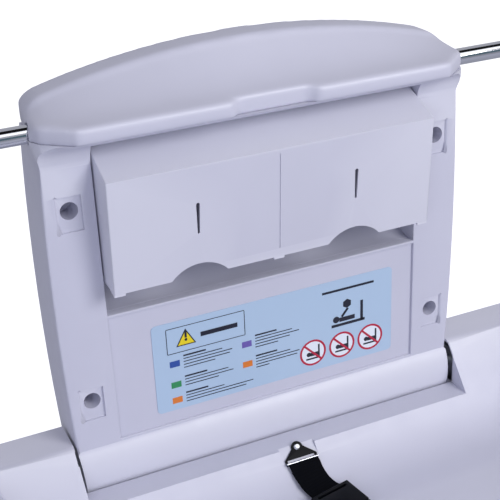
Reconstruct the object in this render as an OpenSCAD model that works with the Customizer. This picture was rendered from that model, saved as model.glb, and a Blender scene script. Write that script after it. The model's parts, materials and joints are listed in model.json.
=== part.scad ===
// Wall-mounted, fold-down baby changing station with a twin liner dispenser.
// Frame: the origin is the centre of the four wall screws on the wall plane,
// +Z is up, the wall is the plane Y = 0 and the front faces -Y. Millimetres.

/* [Wall unit] */
// Half width of the wall unit at its widest point
unit_half_w = 283.5; // [260:0.5:310]
// Depth of the wall unit from the wall to the face of its side rails
unit_depth = 80; // [72:1:100]
// Height of the crown above the wall screw centre
crown_top = 294; // [285:1:330]
// Depth of the crown's flat top edge, measured from the wall
crown_depth = 41; // [30:1:50]
// How far the visor stands in front of the side rails
visor_reach = 42; // [36:1:50]
// Height of the lower edge of the visor above the wall screw centre
visor_z = 220; // [218:0.5:228]
// Height of the visor's front band
visor_band = 20; // [14:1:26]
// Wall thickness of the mouldings
wall = 3.5; // [2.5:0.25:4.5]
// Depth of the recessed panel that carries the label
panel_recess = 4; // [2:0.5:6]
// Height of the crease where the panel meets the hinge roll
crease_z = -200; // [-206:1:-194]

/* [Wall screws] */
// Spacing of the wall screws across the unit
screw_dx = 500; // [480:1:508]
// Spacing of the wall screws up the unit
screw_dz = 260; // [240:1:270]
// Clearance hole for each wall screw
screw_hole_d = 9; // [6:0.5:10]
// Bore that lets a screw head and driver in from the front
screw_bore_d = 22; // [18:0.5:24]
// Depth of that bore below the square recess
screw_bore_depth = 33; // [20:1:44]

/* [Liner dispenser] */
// Half width of the dispenser bay
bay_half_w = 219; // [200:1:222]
// Height of the sill edge at the bottom of the bay
sill_z = -16; // [-30:1:-8]
// Height of the top of the bay
bay_top = 207; // [202:1:208]
// Depth of the bay behind the rail face
bay_depth = 58; // [50:1:62]
// Gap between the door and the bay on each side
door_gap = 2; // [1.5:0.25:4]
// Height of the door's lower edge
door_bottom = 27; // [20:1:32]
// Height of the door's upper front edge
door_top = 173; // [165:1:176]
// How far the door's upper front edge stands in front of the rails
door_reach = 44; // [34:1:46]
// How far back the door's lower edge lies behind its upper edge
door_rake = 11; // [0:1:20]
// Wall thickness of the door
door_wall = 2.5; // [2:0.25:3.5]
// Width of each thumb notch
notch_w = 74; // [50:1:90]
// Height of each thumb notch
notch_h = 17; // [10:1:24]

/* [Hanging rail] */
// Outside diameter of the rail
rail_d = 22; // [18:0.5:22]
// Wall thickness of the rail tube
rail_wall = 1.5; // [1:0.1:2.5]
// Length of the rail
rail_len = 860; // [700:5:900]

/* [Bed] */
// Overall width of the bed
bed_w = 880; // [820:5:940]
// Distance from the hinge axis to the bed's front edge
bed_reach = 438; // [420:1:441]
// Distance from the hinge axis back to the rear edge of the wings
wing_back = 45; // [35:1:50]
// Height of the rim above the hinge axis at the wall side
rim_rise = 40; // [30:1:44]
// Drop of the rim from the wall side to the front edge
rim_fall = 65; // [50:1:70]
// Depth of the basin floor below the hinge axis
floor_drop = 70; // [68:1:80]
// Distance from the basin floor to the underside of the bed
bed_thick = 16; // [12:1:24]
// Width of the flat rim at the two ends
rim_w = 45; // [35:1:60]
// Wall thickness of the bed mouldings
bed_wall = 4; // [3:0.25:5]

/* [Hinge] */
// Height of the hinge axis
hinge_z = -230; // [-236:1:-226]
// Distance of the hinge axis from the wall
hinge_out = 70; // [66:1:74]
// Diameter of the hinge shaft
shaft_d = 16; // [12:0.5:18]
// Radial clearance of turning fits
run_gap = 0.05; // [0.02:0.01:0.1]

/* [Strap] */
// Width of the webbing
web_w = 45; // [25:1:50]
// Thickness of the webbing
web_t = 2; // [1.5:0.1:2.5]
// Travel of each release tab, which stands out of the buckle by as much
tab_travel = 2.5; // [1.5:0.25:3]

/* [Hidden] */
$fn = 64;
eps = 0.01;
white = "#C9C9DD";
grey = "#B9B9C9";
steel = "#9A9CA2";
black = "#15161C";

// Wall unit
face_y = -unit_depth;
side_r = 3600;
side_zc = 15;
unit_bottom = -270;
crown_r = 1000;
crown_half_w = unit_half_w + 1.5;
crown_corner_r = 40;
crown_zc = crown_top - crown_r;
corner_x = crown_half_w - crown_corner_r;
corner_z = crown_zc + sqrt(pow(crown_r - crown_corner_r, 2) - pow(corner_x, 2));
corner_touch = corner_x * crown_r / (crown_r - crown_corner_r);
visor_y = face_y - visor_reach;
visor_top = visor_z + visor_band;
cove_r = 36;
visor_end_x = unit_half_w - 43;
crown_back_in = 9;
scoop_sag = 0.24;
rim_lip = 4;
scoop_sections = 24;
grip_half_w = 57;
grip_taper = 12;
grip_depth = 10;
cell_w = 30;
cell_h = 45;
cell_depth = 3;
cell_drop = 3.5;
boss_wall = 3;
boss_d = screw_bore_d + 2 * boss_wall;
bore_end_y = face_y + cell_depth + screw_bore_depth;

// Hinge and roll
hinge_y = -hinge_out;
roll_r = 62;
roll_zc = hinge_z - 8;
roll_out = 13.5;
roll_yc = face_y - roll_out + roll_r;
roll_low_r = 28;
roll_low_y = face_y - roll_out + roll_low_r;
roll_low_z = unit_bottom + roll_low_r;
roll_gap = 2;

// Bay and door
bay_wall = 3;
bay_back = face_y + bay_depth;
sill_r = 44;
sill_step = 0.2;
pin_y = face_y + 8;
pin_z = door_bottom + 7;
pin_d = 6;
door_half_w = bay_half_w - door_gap;
door_front_y = face_y - door_reach;
door_foot_y = door_front_y + door_rake;
door_slope = 0.45;
door_back_y = face_y + 18;
door_slope_top = door_top + door_slope * (door_back_y - door_front_y);
slot_x = 107;
slot_low = door_bottom + 59;
slot_h = 37;
slot_r = 1.5;
slot_top_r = 2.4;
groove_w = 2.5;
groove_depth = 1;
tray_gap = 2;

// Rail
rail_y = face_y + 22;
rail_z = visor_z + 4;
clamp_x = 200;
clamp_w = 18;

// Bed
bed_half_w = bed_w / 2;
bed_front = hinge_y - bed_reach;
wing_rear = hinge_y + wing_back;
rim_z = hinge_z + rim_rise;
rim_front_z = rim_z - rim_fall;
rim_bend_y = face_y - 20;
floor_z = hinge_z - floor_drop;
bed_bottom = floor_z - bed_thick;
basin_rear = face_y;
basin_slope_run = 92;
basin_front_crest = bed_front + 11;
basin_front_foot = bed_front + 30;
basin_side_crest = bed_half_w - rim_w;
basin_side_run = 62;
notch_gap = 2.2;
// Half width of the wall unit at a height z
function unit_half_at(z) = unit_half_w - side_r + sqrt(side_r * side_r - pow(z - side_zc, 2));
notch_half_w = unit_half_at(rim_z + 20) + notch_gap;
shelf_y = face_y - roll_out - roll_gap;
shelf_z = hinge_z - 22;
basin_slope_k = (rim_z - floor_z) / basin_slope_run;
// (y, z) points of the basin along its middle, from the rear crest to the front crest
basin_line = [[basin_rear, rim_z], [basin_rear - basin_slope_run * 0.7, floor_z + 33],
    [basin_rear - basin_slope_run, floor_z + 13], [basin_rear - basin_slope_run - 30, floor_z + 3],
    [basin_rear - basin_slope_run - 70, floor_z], [basin_front_foot + 14, floor_z],
    [basin_front_foot, floor_z + 8], [basin_front_crest, rim_front_z]];
crease_y = basin_rear - (rim_z - shelf_z) / basin_slope_k;
plan_r = 46;

// Hinge hardware
frame_t = 3;
frame_in = screw_dx / 2 - 14;
frame_out = screw_dx / 2 + 19;
bush_d = shaft_d + 6;
bush_len = 8;
lever_x = 238;
lever_w = 8;
lever_reach = 33;
pad_gap = 0.2;
damper_x = 190;
damper_len = 36;
damper_d = shaft_d + 18;
collar_d = shaft_d + 12;
shaft_half = notch_half_w + 30;
plate_x = notch_half_w + 10;
plate_t = 6;

// Back plate and small fixings
back_t = 3;
back_half_w = frame_in - 2;
back_bottom = unit_bottom + 12;
back_top = visor_z - 22;
back_low_z = crease_z + 12;
back_high_z = back_top - 12;
post_d = 12;
screw_d = 4;
screw_len = 12;
head_t = 2;
clamp_screw_len = 24;
clamp_screw_z = rail_z + rail_d / 2 + 1;

// Label
label_w = 352;
label_h = 130;
label_t = 0.8;
label_r = 6;
label_x = 11;
label_z = crease_z + 86.5;

// Dispenser insert and catch
tray_front = face_y + 22;
tray_bottom = door_bottom + 2;
catch_w = 24;

// Strap
anchor_x = 8;
anchor_drop = 3;
strap_yaw = 12;
buckle_len = 64;
buckle_w = web_w + 17;
pocket_half_w = web_w / 2 + 3.5;
seat_half_w = pocket_half_w + bed_wall;
seat_gap = 1;
buckle_t = 12;
slope_deg = atan(basin_slope_k);
screw_y = crease_y + 2;
bar_run = 20;
bar_d = 3;
buckle_y = crease_y - 66;
buckle_x = anchor_x + 12;
buckle_pitch = 5;
front_anchor_x = anchor_x + 32;
front_screw_y = basin_front_foot + 44;
tail_y = buckle_y - buckle_len - 34;
strap_lift = 1.2;
// Height of the basin floor along its middle at y
function basin_z(y) = lookup(y, basin_line);
buckle_z = basin_z(buckle_y) + 2.5;

// Stations of the webbing: x, y, z of its underside and its heading
strap_rear_route = [[anchor_x + 1, crease_y - 19, basin_z(crease_y - 19) + 3, 0],
    [anchor_x + 2, crease_y - 30, basin_z(crease_y - 30) + 2, 3],
    [anchor_x + 5, crease_y - 44, basin_z(crease_y - 44) + 2, 7],
    [anchor_x + 9, crease_y - 58, basin_z(crease_y - 58) + 3.5, strap_yaw],
    [buckle_x - 1, buckle_y + 0.5, buckle_z + 5, strap_yaw]];
strap_front_route = [[buckle_x + 13, buckle_y - buckle_len - 0.5, floor_z + 2.6, strap_yaw],
    [buckle_x + 19, tail_y, floor_z + strap_lift, 9],
    [buckle_x + 23, tail_y - 35, floor_z + strap_lift, 3],
    [buckle_x + 24, tail_y - 75, floor_z + strap_lift, -4],
    [front_anchor_x + 1, front_screw_y + 38, floor_z + strap_lift + 1, -3],
    [front_anchor_x, front_screw_y + 24, floor_z + 3.2, 0]];

// Extrude a (y, z) outline along X, centred on X = 0.
module along_x(len) rotate([90, 0, 90]) linear_extrude(len, center = true) children();
// Extrude an (x, z) outline along Y from y0 to y1.
module along_y(y0, y1) translate([0, y1, 0]) rotate([90, 0, 0]) linear_extrude(y1 - y0) children();
// Extrude an (x, y) outline along Z from z0 to z1.
module along_z(z0, z1) translate([0, 0, z0]) linear_extrude(z1 - z0) children();
// Box between two corners.
module box(a, b) translate(a) cube(b - a);
// Draw the children on both sides of the plane X = 0.
module both() for (s = [0, 1]) mirror([s, 0, 0]) children();
// Draw the children on the left (side = -1) or right (side = 1).
module on(side) mirror([side < 0 ? 1 : 0, 0, 0]) children();
// Cylinder along X from x0 to x1 at (y, z).
module rod_x(x0, x1, y, z, d) translate([x0, y, z]) rotate([0, 90, 0]) cylinder(d = d, h = x1 - x0);
// Cylinder along Y from y0 to y1 at (x, z).
module rod_y(y0, y1, x, z, d) translate([x, y1, z]) rotate([90, 0, 0]) cylinder(d = d, h = y1 - y0);

// Closed solid through a list of sections, each with the same number of points.
module loft(sections) {
    m = len(sections[0]);
    n = len(sections);
    points = [for (s = sections) each s];
    sides = [for (i = [0 : n - 2], j = [0 : m - 1])
        let (a = i * m + j, b = i * m + (j + 1) % m) each [[a, b, b + m], [a, b + m, a + m]]];
    first = [for (j = [m - 1 : -1 : 0]) j];
    last = [for (j = [0 : m - 1]) (n - 1) * m + j];
    polyhedron(points, concat(sides, [first, last]), convexity = 6);
}

// ---------- wall unit outlines ----------

// Bowed front outline of the unit, drawn in by d on each side.
module unit_outline(d = 0) intersection() {
    translate([side_r - unit_half_w + d, side_zc]) circle(side_r, $fn = 900);
    translate([unit_half_w - d - side_r, side_zc]) circle(side_r, $fn = 900);
    translate([-unit_half_w, unit_bottom + d]) square([2 * unit_half_w, visor_z - unit_bottom - d]);
}

// Arched front outline of the crown, drawn in by d.
module crown_outline(d = 0) {
    intersection() {
        translate([0, crown_zc]) circle(crown_r - d, $fn = 720);
        translate([-corner_touch, visor_z - cove_r]) square([2 * corner_touch, crown_r]);
    }
    for (s = [-1, 1]) translate([s * corner_x, corner_z]) circle(crown_corner_r - d);
    translate([-crown_half_w + d, visor_z - cove_r])
        square([2 * (crown_half_w - d), corner_z - visor_z + cove_r]);
}

// Plan outline of the crown: it narrows to the wall and its front corners are cut off.
module crown_plan(d = 0) {
    half = [[crown_half_w - crown_back_in, 0], [crown_half_w, face_y + 6],
        [crown_half_w - 7, face_y - 10], [visor_end_x, visor_y]];
    polygon(concat([for (p = half) [p[0] - d, p[1] + (p[1] < face_y ? d : 0)]],
        [for (i = [3 : -1 : 0]) [d - half[i][0], half[i][1] + (half[i][1] < face_y ? d : 0)]]));
}

// Height of the crown's arch at a distance x from the middle.
function arch_z(x) = abs(x) < corner_touch
    ? crown_zc + sqrt(crown_r * crown_r - x * x)
    : corner_z + sqrt(max(0, pow(crown_corner_r, 2) - pow(min(abs(x), crown_half_w) - corner_x, 2)));

// Hollow of the crown's face at x: it sweeps from the rim down to the visor's band.
function scoop_section(x) = let (top = max(arch_z(x) - rim_lip, visor_top + 1), fall = top - visor_top)
    concat([for (i = [0 : 8]) let (t = i / 8)
        [x, -crown_depth + t * (visor_y + crown_depth), top - t * fall - scoop_sag * sin(180 * t) * fall]],
        [[x, visor_y - 40, visor_top], [x, visor_y - 40, crown_top + 40], [x, -crown_depth, crown_top + 40]]);

module crown_scoop() {
    step = 2 * (crown_half_w + 1) / scoop_sections;
    loft([for (i = [0 : scoop_sections]) scoop_section(-crown_half_w - 1 + i * step)]);
}

// Outer form of the crown above the visor's lower edge.
module crown(d = 0) difference() {
    intersection() {
        along_y(visor_y + d, 0) crown_outline(d);
        along_z(visor_z - 1, crown_top + 1) crown_plan(d);
    }
    translate([0, d, -d]) crown_scoop();
    box([-unit_half_w - 20, visor_y - 20, visor_z - 20], [unit_half_w + 20, 20, visor_z]);
}

// Coved shoulder that carries the visor, below its lower edge.
module shoulder() intersection() {
    along_z(visor_z - cove_r, visor_z) crown_plan();
    along_y(visor_y, 0) polygon([[-crown_half_w, visor_z], [crown_half_w, visor_z],
        [unit_half_w - 6, visor_z - cove_r], [6 - unit_half_w, visor_z - cove_r]]);
    along_x(3 * crown_half_w) difference() {
        translate([visor_y, visor_z - cove_r]) square([-visor_y, cove_r]);
        translate([visor_y + 6, visor_z - cove_r]) circle(cove_r);
        translate([visor_y - 60, visor_z - 2 * cove_r]) square([66, 2 * cove_r]);
    }
}

// (y, z) outline of the roll along the bottom of the unit, drawn in by d.
module roll_outline(d = 0) {
    intersection() {
        translate([roll_yc, roll_zc]) circle(roll_r - d, $fn = 180);
        translate([face_y - 60, roll_low_z]) square([80, crease_z + 20 - roll_low_z]);
    }
    translate([roll_low_y, roll_low_z]) circle(roll_low_r - d);
    translate([roll_low_y, unit_bottom + d]) square([-roll_low_y, crease_z - unit_bottom]);
    translate([face_y + d, roll_low_z]) square([unit_depth - d, crease_z + 20 - roll_low_z]);
}

module roll(d = 0) intersection() {
    along_x(3 * unit_half_w) roll_outline(d);
    along_y(face_y - 40, 0) unit_outline(d);
}

module at_screws() for (sx = [-1, 1], sz = [-1, 1])
    translate([sx * screw_dx / 2, 0, sz * screw_dz / 2]) children();

// (y, z) outline of the bay: flat top and back, concave sill.
module bay_outline(d = 0) difference() {
    translate([visor_y - d, sill_z - d]) square([bay_back - visor_y + 2 * d, bay_top - sill_z + 2 * d]);
    difference() {
        translate([bay_back - sill_r, sill_z - d - 1]) square([sill_r + d + 1, sill_r + d]);
        translate([bay_back - sill_r, sill_z + sill_r]) circle(sill_r + d - sill_step, $fn = 120);
    }
}

// Hollow behind the walls of the housing.
module housing_hollow() {
    along_y(face_y + wall, eps) unit_outline(wall);
    translate([0, eps, 0]) roll(wall);
}

module wall_housing() color(white) difference() {
    union() {
        difference() {
            union() {
                along_y(face_y, 0) unit_outline();
                shoulder();
                roll();
            }
            housing_hollow();
        }
        // walls of the dispenser bay
        intersection() {
            along_x(2 * (bay_half_w + bay_wall)) bay_outline(bay_wall);
            along_y(face_y, -eps) unit_outline();
        }
        // backing of the recessed panel
        box([-bay_half_w - wall, face_y + 1, crease_z],
            [bay_half_w + wall, face_y + panel_recess + wall, sill_z]);
        // bosses of the wall screws and posts for the back plate's screws
        at_screws() rod_y(face_y + 1, -frame_t, 0, 0, boss_d);
        at_back_screws([back_low_z]) rod_y(face_y + panel_recess + 1, -back_t, 0, 0, post_d);
        at_back_screws([back_high_z]) rod_y(bay_back + 1, -back_t, 0, 0, post_d);
    }
    at_back_screws() rod_y(-screw_len, 1, 0, 0, screw_d);
    // dispenser bay
    along_x(2 * bay_half_w) bay_outline();
    // recessed label panel
    box([-bay_half_w, face_y - 1, crease_z + 4], [bay_half_w, face_y + panel_recess, sill_z - 4]);
    at_screws() {
        box([-cell_w / 2, face_y - 1, -cell_h / 2 - cell_drop],
            [cell_w / 2, face_y + cell_depth, cell_h / 2 - cell_drop]);
        rod_y(face_y, bore_end_y, 0, 0, screw_bore_d);
        rod_y(face_y, 1, 0, 0, screw_hole_d);
    }
    rod_x(-crown_half_w - 1, crown_half_w + 1, rail_y, rail_z, rail_d + 3);
    rod_x(-unit_half_w - 1, unit_half_w + 1, hinge_y, hinge_z, shaft_d + 1);
    both() rod_x(bay_half_w - 1, bay_half_w + bay_wall + 6, pin_y, pin_z, pin_d);
}

// Arched cover that closes the top of the housing over the hanging rail.
module crown_cover() color(white) difference() {
    crown();
    difference() {
        translate([0, eps, -eps]) crown(wall);
        box([-unit_half_w, visor_y, visor_z - 1], [unit_half_w, visor_y + grip_depth + wall, crown_top]);
    }
    // finger grip in the middle of the visor
    along_z(visor_z - 8, crown_top + 10) polygon([[-grip_half_w, visor_y - eps], [grip_half_w, visor_y - eps],
        [grip_half_w - grip_taper, visor_y + grip_depth], [grip_taper - grip_half_w, visor_y + grip_depth]]);
    rod_x(-crown_half_w - 1, crown_half_w + 1, rail_y, rail_z, rail_d + 3);
}

module at_back_screws(heights = [back_low_z, back_high_z]) for (x = [-150, 0, 150], z = heights)
    translate([x, 0, z]) children();

module back_plate() color(grey) difference() {
    union() {
        box([-back_half_w, -back_t, back_bottom], [back_half_w, 0, back_top]);
        both() box([clamp_x - clamp_w / 2 - 8, -back_t, back_top - 1],
            [clamp_x + clamp_w / 2 + 8, 0, rail_z + 22]);
    }
    at_back_screws() {
        rod_y(-back_t - 1, 1, 0, 0, screw_d);
        rod_y(-head_t, 1, 0, 0, 2 * screw_d);
    }
    both() {
        rod_y(-back_t - 1, 1, clamp_x, clamp_screw_z, screw_d);
        rod_y(-head_t, 1, clamp_x, clamp_screw_z, 2 * screw_d);
    }
}

// Screws sunk into the back of the plate.
module back_plate_screws() color(steel) at_back_screws() {
    rod_y(-screw_len, -head_t, 0, 0, screw_d);
    rod_y(-head_t, 0, 0, 0, 2 * screw_d);
}

// Steel angle behind each pair of wall screws, with a web that carries the hinge shaft.
module side_frame() difference() {
    union() {
        box([frame_in, -frame_t, -screw_dz / 2 - 30], [frame_out, 0, screw_dz / 2 + 30]);
        translate([frame_out - frame_t / 2, 0, 0]) along_x(frame_t)
            polygon([[0, -90], [-12, -90], [-48, -200], [hinge_y - 14, hinge_z + 16],
                [hinge_y - 14, hinge_z - 16], [hinge_y + 14, hinge_z - 28], [0, hinge_z - 28]]);
        // tab above the stop pad
        box([lever_x, hinge_y + lever_reach - 12, hinge_z + 16],
            [frame_out - eps, hinge_y + lever_reach, hinge_z + 19]);
    }
    for (s = [-1, 1]) rod_y(-frame_t - 1, 1, screw_dx / 2, s * screw_dz / 2, screw_hole_d);
    rod_x(frame_out - frame_t - 1, frame_out + 1, hinge_y, hinge_z, bush_d);
}
module side_frame_left() color(steel) on(-1) side_frame();
module side_frame_right() color(steel) on(1) side_frame();

module shaft_bush() difference() {
    rod_x(frame_out - bush_len + 1, frame_out + 1, hinge_y, hinge_z, bush_d);
    rod_x(frame_out - bush_len, frame_out + 2, hinge_y, hinge_z, shaft_d + 2 * run_gap);
}
module shaft_bush_left() color("ivory") on(-1) shaft_bush();
module shaft_bush_right() color("ivory") on(1) shaft_bush();

module hinge_shaft() color(steel) rod_x(-shaft_half, shaft_half, hinge_y, hinge_z, shaft_d);

// Lever fixed to the shaft: its arm meets the stop pad when the bed is level.
module stop_lever() difference() {
    union() {
        rod_x(lever_x, lever_x + lever_w, hinge_y, hinge_z, collar_d);
        box([lever_x, hinge_y, hinge_z - 6], [lever_x + lever_w, hinge_y + lever_reach, hinge_z + 6]);
    }
    rod_x(lever_x - 1, lever_x + lever_w + 1, hinge_y, hinge_z, shaft_d);
}
module stop_lever_left() color(steel) on(-1) stop_lever();
module stop_lever_right() color(steel) on(1) stop_lever();

module stop_pad() box([lever_x, hinge_y + lever_reach - 12, hinge_z + 6 + pad_gap],
    [lever_x + lever_w, hinge_y + lever_reach - 2, hinge_z + 16]);
module stop_pad_left() color(black) on(-1) stop_pad();
module stop_pad_right() color(black) on(1) stop_pad();

// Oil-filled rotary damper around the shaft, with a foot on the back plate.
module rotary_damper() difference() {
    union() {
        rod_x(damper_x, damper_x + damper_len, hinge_y, hinge_z, damper_d);
        box([damper_x + 6, hinge_y, hinge_z - 7], [damper_x + damper_len - 6, -3, hinge_z + 7]);
    }
    rod_x(damper_x - 1, damper_x + damper_len + 1, hinge_y, hinge_z, shaft_d + 2 * run_gap);
}
module rotary_damper_left() color("dimgray") on(-1) rotary_damper();
module rotary_damper_right() color("dimgray") on(1) rotary_damper();

// ---------- liner dispenser ----------

// Open-fronted insert with a middle wall; liners are drawn through its two floor slots.
module dispenser_tray() color(grey) difference() {
    box([tray_gap - bay_half_w, tray_front, tray_bottom], [bay_half_w - tray_gap, bay_back - 0.5, bay_top - 3]);
    for (s = [0, 1]) mirror([s, 0, 0]) {
        box([1.5, tray_front - 1, tray_bottom + 2.5], [bay_half_w - tray_gap - 2.5, bay_back - 3, bay_top + 1]);
        box([22, tray_front + 4, tray_bottom - 1], [bay_half_w - 22, tray_front + 18, tray_bottom + 5]);
    }
}

// (y, z) outline of the door, drawn in by d: raked front, sloping top, open at the back and foot.
module door_outline(d = 0) polygon([
    [door_foot_y + d, door_bottom - (d > 0 ? 1 : 0)],
    [door_front_y + d, door_top - d * 0.4],
    [door_back_y + (d > 0 ? 1 : 0), door_slope_top - d * 1.07],
    [door_back_y + (d > 0 ? 1 : 0), door_bottom - (d > 0 ? 1 : 0)]]);

module door_front_cut() for (s = [-1, 1]) translate([s * slot_x, 0, 0]) {
    // thumb notch: a flat arch in the lower edge
    along_y(door_front_y - 5, door_foot_y + 8) intersection() {
        translate([0, door_bottom + notch_h - pow(notch_w / 2, 2) / (2 * notch_h) - notch_h / 2])
            circle(pow(notch_w / 2, 2) / (2 * notch_h) + notch_h / 2, $fn = 180);
        translate([-notch_w, door_bottom - 1]) square([2 * notch_w, notch_h + 2]);
    }
    // sight slot, which widens towards its top
    along_y(door_front_y - 5, door_foot_y + 8) translate([0, slot_low]) {
        polygon([[-slot_r, 0], [slot_r, 0], [slot_top_r, slot_h], [-slot_top_r, slot_h]]);
        circle(slot_r);
        translate([0, slot_h]) circle(slot_top_r);
    }
}

// Distance from the wall plane to the door's raked front at a height z.
function door_face(z) = door_foot_y - door_rake * (z - door_bottom) / (door_top - door_bottom);

// Shallow groove down the middle of the door, which parts its two halves.
module door_groove() let (low = door_bottom + 12, high = door_top - 6) along_x(groove_w) polygon([
    [door_face(low) - 2, low], [door_face(high) - 2, high],
    [door_face(high) + groove_depth, high], [door_face(low) + groove_depth, low]]);

module dispenser_door() color(white) difference() {
    union() {
        difference() {
            along_x(2 * door_half_w) door_outline();
            along_x(2 * (door_half_w - door_wall)) door_outline(door_wall);
        }
        // hinge cheeks and the three feet
        for (x = [-door_half_w, door_half_w - 14, -7])
            box([x, door_foot_y + 0.2, door_bottom - 3], [x + 14, door_foot_y + door_wall + 2, door_bottom + 3]);
        both() intersection() {
            rod_x(door_half_w - door_wall, door_half_w, pin_y, pin_z, 16);
            box([0, face_y - 10, door_bottom], [unit_half_w, face_y + 30, 100]);
        }
    }
    door_front_cut();
    door_groove();
    both() rod_x(door_half_w - door_wall - 1, door_half_w + 1, pin_y, pin_z, pin_d + 2 * run_gap);
}

module door_pin() rod_x(door_half_w - door_wall - 2, bay_half_w + bay_wall + 4, pin_y, pin_z, pin_d);
module door_pin_left() color(steel) on(-1) door_pin();
module door_pin_right() color(steel) on(1) door_pin();

// Spring catch under the bay's top; its nose holds the door's rear edge.
module door_catch() color(black) {
    box([-catch_w / 2, door_back_y + 1, bay_top - 4], [catch_w / 2, tray_front - 0.5, bay_top]);
    box([-catch_w / 2, door_back_y + 1, bay_top - 22], [catch_w / 2, door_back_y + 2.5, bay_top - 4]);
}

// Printed plate with rounded corners, stuck to the recessed panel.
module label_plate() color("#A9C6E3") along_y(face_y + panel_recess - label_t, face_y + panel_recess)
    translate([label_x, label_z]) {
        square([label_w - 2 * label_r, label_h], center = true);
        square([label_w, label_h - 2 * label_r], center = true);
        for (sx = [-1, 1], sz = [-1, 1])
            translate([sx * (label_w / 2 - label_r), sz * (label_h / 2 - label_r)]) circle(label_r);
    }

// ---------- hanging rail ----------

module hanging_rail() color("silver") difference() {
    rod_x(-rail_len / 2, rail_len / 2, rail_y, rail_z, rail_d);
    rod_x(-rail_len / 2 - 1, rail_len / 2 + 1, rail_y, rail_z, rail_d - 2 * rail_wall);
}

module rail_clamp() difference() {
    box([clamp_x - clamp_w / 2, rail_y - rail_d / 2 - 4, bay_top + bay_wall + 1],
        [clamp_x + clamp_w / 2, -back_t, rail_z + rail_d / 2 + 4]);
    rod_x(clamp_x - clamp_w, clamp_x + clamp_w, rail_y, rail_z, rail_d);
    rod_y(-clamp_screw_len, 0, clamp_x, clamp_screw_z, screw_d);
}
module rail_clamp_left() color(grey) on(-1) rail_clamp();
module rail_clamp_right() color(grey) on(1) rail_clamp();
module rail_clamp_screws() color(steel) both() {
    rod_y(-clamp_screw_len, -head_t, clamp_x, clamp_screw_z, screw_d);
    rod_y(-head_t, 0, clamp_x, clamp_screw_z, 2 * screw_d);
}

module rail_cap() {
    rod_x(rail_len / 2 - 14, rail_len / 2, rail_y, rail_z, rail_d - 2 * rail_wall);
    rod_x(rail_len / 2, rail_len / 2 + 4, rail_y, rail_z, rail_d);
}
module rail_cap_left() color(black) on(-1) rail_cap();
module rail_cap_right() color(black) on(1) rail_cap();

// ---------- bed ----------

// Plan of the bed, drawn in by d: rounded corners and a notch around the wall unit.
module bed_plan(d = 0) difference() {
    union() {
        translate([d - bed_half_w, bed_front + plan_r])
            square([bed_w - 2 * d, wing_rear - bed_front - plan_r - 18]);
        translate([plan_r - bed_half_w, bed_front + d]) square([bed_w - 2 * plan_r, 2 * plan_r]);
        translate([18 - bed_half_w, wing_rear - 40]) square([bed_w - 36, 40 - d]);
        for (s = [-1, 1]) {
            translate([s * (bed_half_w - plan_r), bed_front + plan_r]) circle(plan_r - d);
            translate([s * (bed_half_w - 18), wing_rear - 18]) circle(18 - d);
        }
    }
    translate([-notch_half_w - d, shelf_y - d]) square([2 * (notch_half_w + d), unit_depth + 40]);
}

// (y, z) outline of the bed's body below the rim top lowered by d, drawn in by e at the bottom.
module bed_side(d = 0, e = 0) polygon([
    [wing_rear - e, rim_z - d], [rim_bend_y, rim_z - d], [bed_front + e, rim_front_z - d],
    [bed_front + e, rim_front_z - 26], [bed_front + 40, bed_bottom + e], [shelf_y - 30, bed_bottom + e],
    [shelf_y + 40, rim_z - 96 + e], [wing_rear - e, rim_z - 62 + e]]);

// Hollow of the basin, grown by d.
module basin(d = 0) intersection() {
    along_x(2 * bed_w) polygon(concat([[basin_rear + 2 + d, rim_z + 60], [basin_line[0][0] + d, rim_z],
            basin_line[1] + [d, 0], basin_line[2] + [d, -d]],
        [for (i = [3 : 5]) basin_line[i] - [0, d]],
        [basin_line[6] - [d, d], basin_line[7] - [d, 0], [basin_front_crest - d, rim_z + 60]]));
    along_y(bed_front - 1, 0) polygon(concat(
        [for (p = [[0, rim_z + 60], [0, rim_z], [-0.62 * basin_side_run, floor_z + 34],
            [-basin_side_run, floor_z + 12 - d], [-basin_side_run - 34, floor_z + 2 - d],
            [-basin_side_run - 60, floor_z - d]]) [basin_side_crest + p[0] + d, p[1]]],
        [for (p = [[60, floor_z - d], [34, floor_z + 2 - d], [0, floor_z + 12 - d],
            [-0.38 * basin_side_run, floor_z + 34], [-basin_side_run, rim_z], [-basin_side_run, rim_z + 60]])
            [-basin_side_crest + basin_side_run + p[0] - d, p[1]]]));
}

// Frame of the rear strap anchor: origin at its screw, X across, -Y down the slope.
module at_rear_anchor() translate([anchor_x, screw_y, shelf_z - anchor_drop])
    rotate([slope_deg - 12, 0, 0]) children();
// Frame of the front strap anchor, flat on the basin's floor.
module at_front_anchor() translate([front_anchor_x, front_screw_y, floor_z]) rotate([0, 0, 180]) children();

module anchor_pocket() box([-pocket_half_w, -30, 0], [pocket_half_w, 11, 30]);

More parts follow.
